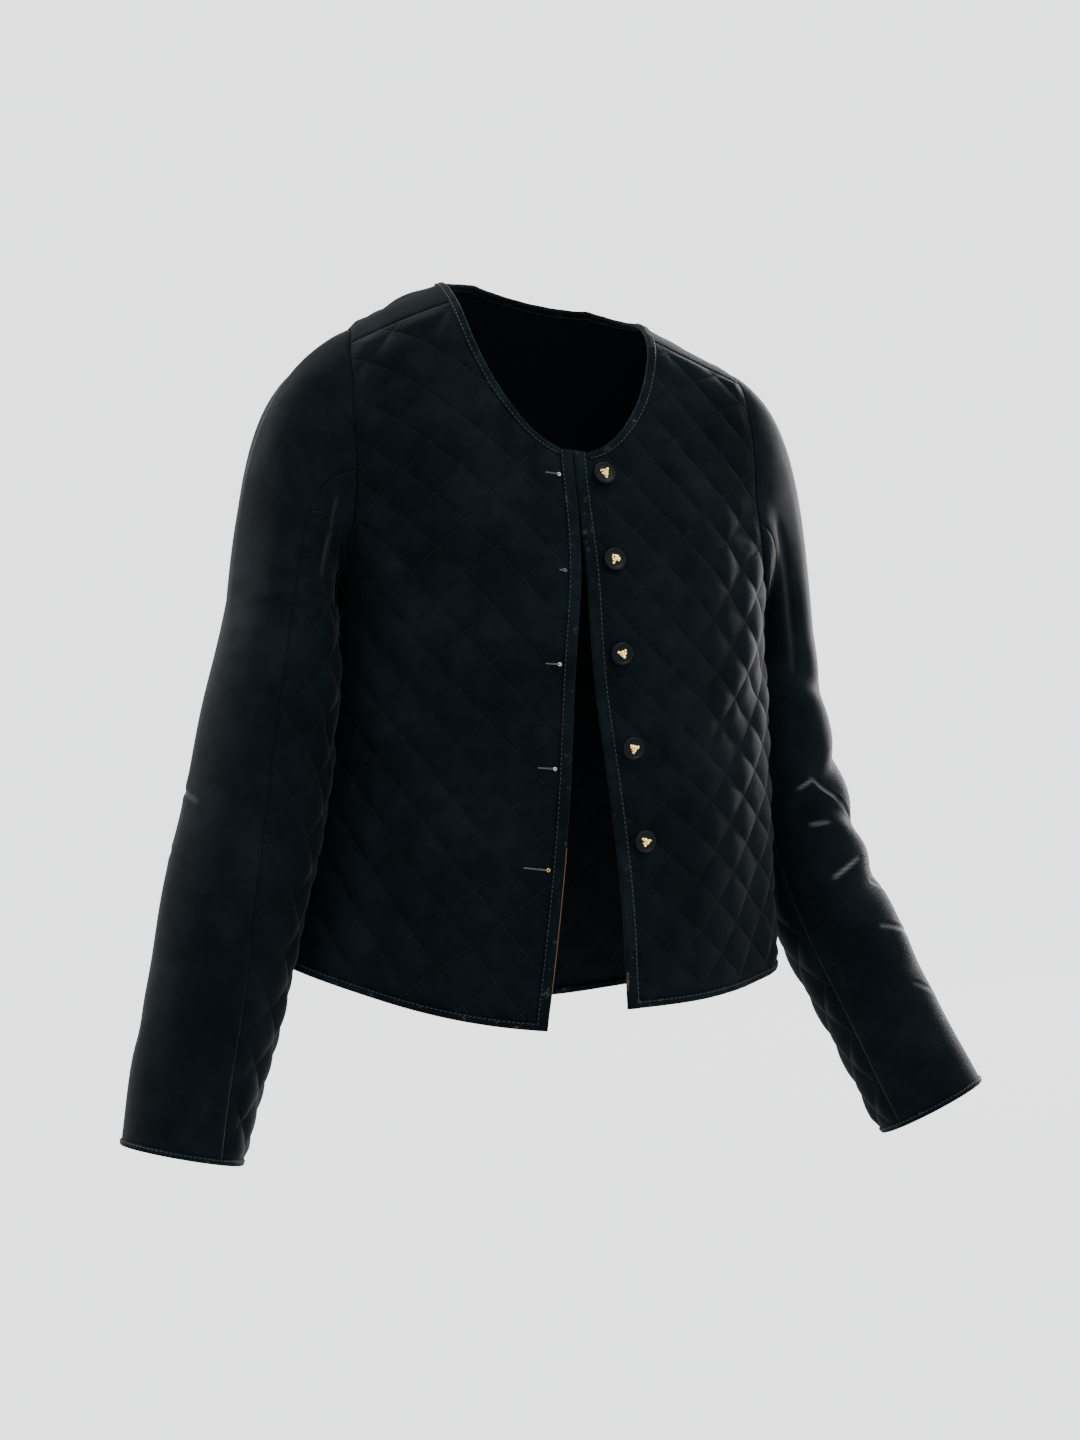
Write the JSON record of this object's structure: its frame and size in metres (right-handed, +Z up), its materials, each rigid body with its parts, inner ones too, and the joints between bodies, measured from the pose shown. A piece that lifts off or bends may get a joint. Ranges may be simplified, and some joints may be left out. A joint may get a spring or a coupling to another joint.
{
  "type": "collarless quilted jacket",
  "caption": "Cropped collarless jacket in diamond-quilted velvet, worn open, with long sleeves, bound edges, round buttons and keyhole buttonholes.",
  "frame": {"origin": "where the neck of the jacket rests at its two highest points beside the collar line, midway between them", "axes": "+Z up, -Y the front, +X the left of whoever wears it"},
  "size_m": [0.6525, 0.2255, 0.6231],
  "materials": {
    "quilted_velvet": "quilted black velvet",
    "velvet": "plain black velvet",
    "binding": "black velvet binding",
    "button": "polished black",
    "bead": "granulated gold"
  },
  "bodies": {
    "root": {"back": "quilted_velvet", "front_right": "quilted_velvet", "front_left": "quilted_velvet", "upper_sleeve_right": "velvet", "upper_sleeve_left": "velvet", "under_sleeve_right": "quilted_velvet", "under_sleeve_left": "quilted_velvet", "binding_front_right": "binding", "binding_front_left": "binding", "binding_cuff_right": "binding", "binding_cuff_left": "binding", "binding_neck": "binding", "binding_hem": "binding", "button_1": "button", "button_2": "button", "button_3": "button", "button_4": "button", "button_5": "button", "bead_1": "bead", "bead_2": "bead", "bead_3": "bead", "bead_4": "bead", "bead_5": "bead"}
  },
  "joints": []
}
